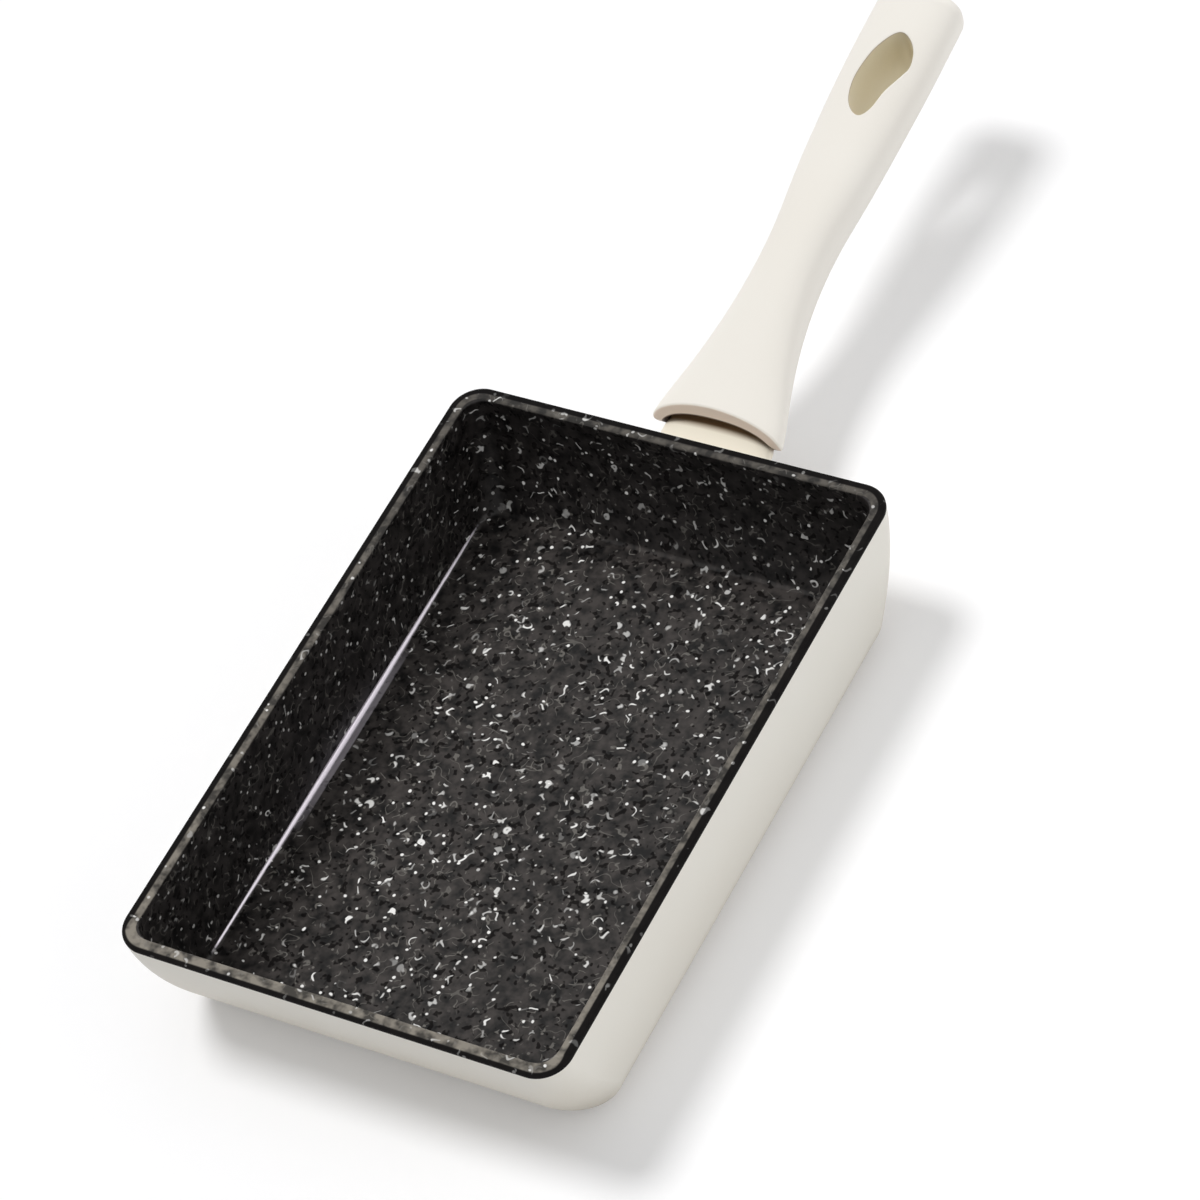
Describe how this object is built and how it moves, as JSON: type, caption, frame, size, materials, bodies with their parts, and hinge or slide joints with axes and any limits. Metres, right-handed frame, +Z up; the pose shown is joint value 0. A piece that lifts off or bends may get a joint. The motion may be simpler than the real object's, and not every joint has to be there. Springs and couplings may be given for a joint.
{
  "type": "tamagoyaki pan",
  "caption": "Rectangular Japanese omelette pan with straight sides, a speckled dark non-stick inside, an ivory outside and an ivory handle with a hanging hole.",
  "frame": {"origin": "centre of the tray's flat underside, on the surface the pan stands on", "axes": "+Z up, +Y from the tray along the handle, +X to the right seen from the tray's front with the handle pointing away"},
  "size_m": [0.1304, 0.3458, 0.0525],
  "materials": {
    "ivory_enamel": "satin ivory enamel baked on die-cast aluminium",
    "speckled_nonstick": "charcoal non-stick coating with sparse white and grey speckles, semi-gloss",
    "base_steel": "stamped stainless steel, satin",
    "bracket_steel": "zinc-plated steel",
    "screw_steel": "zinc-plated steel",
    "ivory_ferrule": "ivory, semi-gloss",
    "ivory_grip": "ivory heat-resistant plastic, soft satin"
  },
  "bodies": {
    "root": {"pan_body": "ivory_enamel", "nonstick_coating": "speckled_nonstick", "induction_plate": "base_steel", "tang_bracket": "bracket_steel", "bracket_screws": "screw_steel", "bracket_spring_washers": "screw_steel", "handle_screw": "screw_steel", "handle_screw_washer": "screw_steel", "ferrule": "ivory_ferrule", "handle_grip": "ivory_grip"}
  },
  "joints": []
}
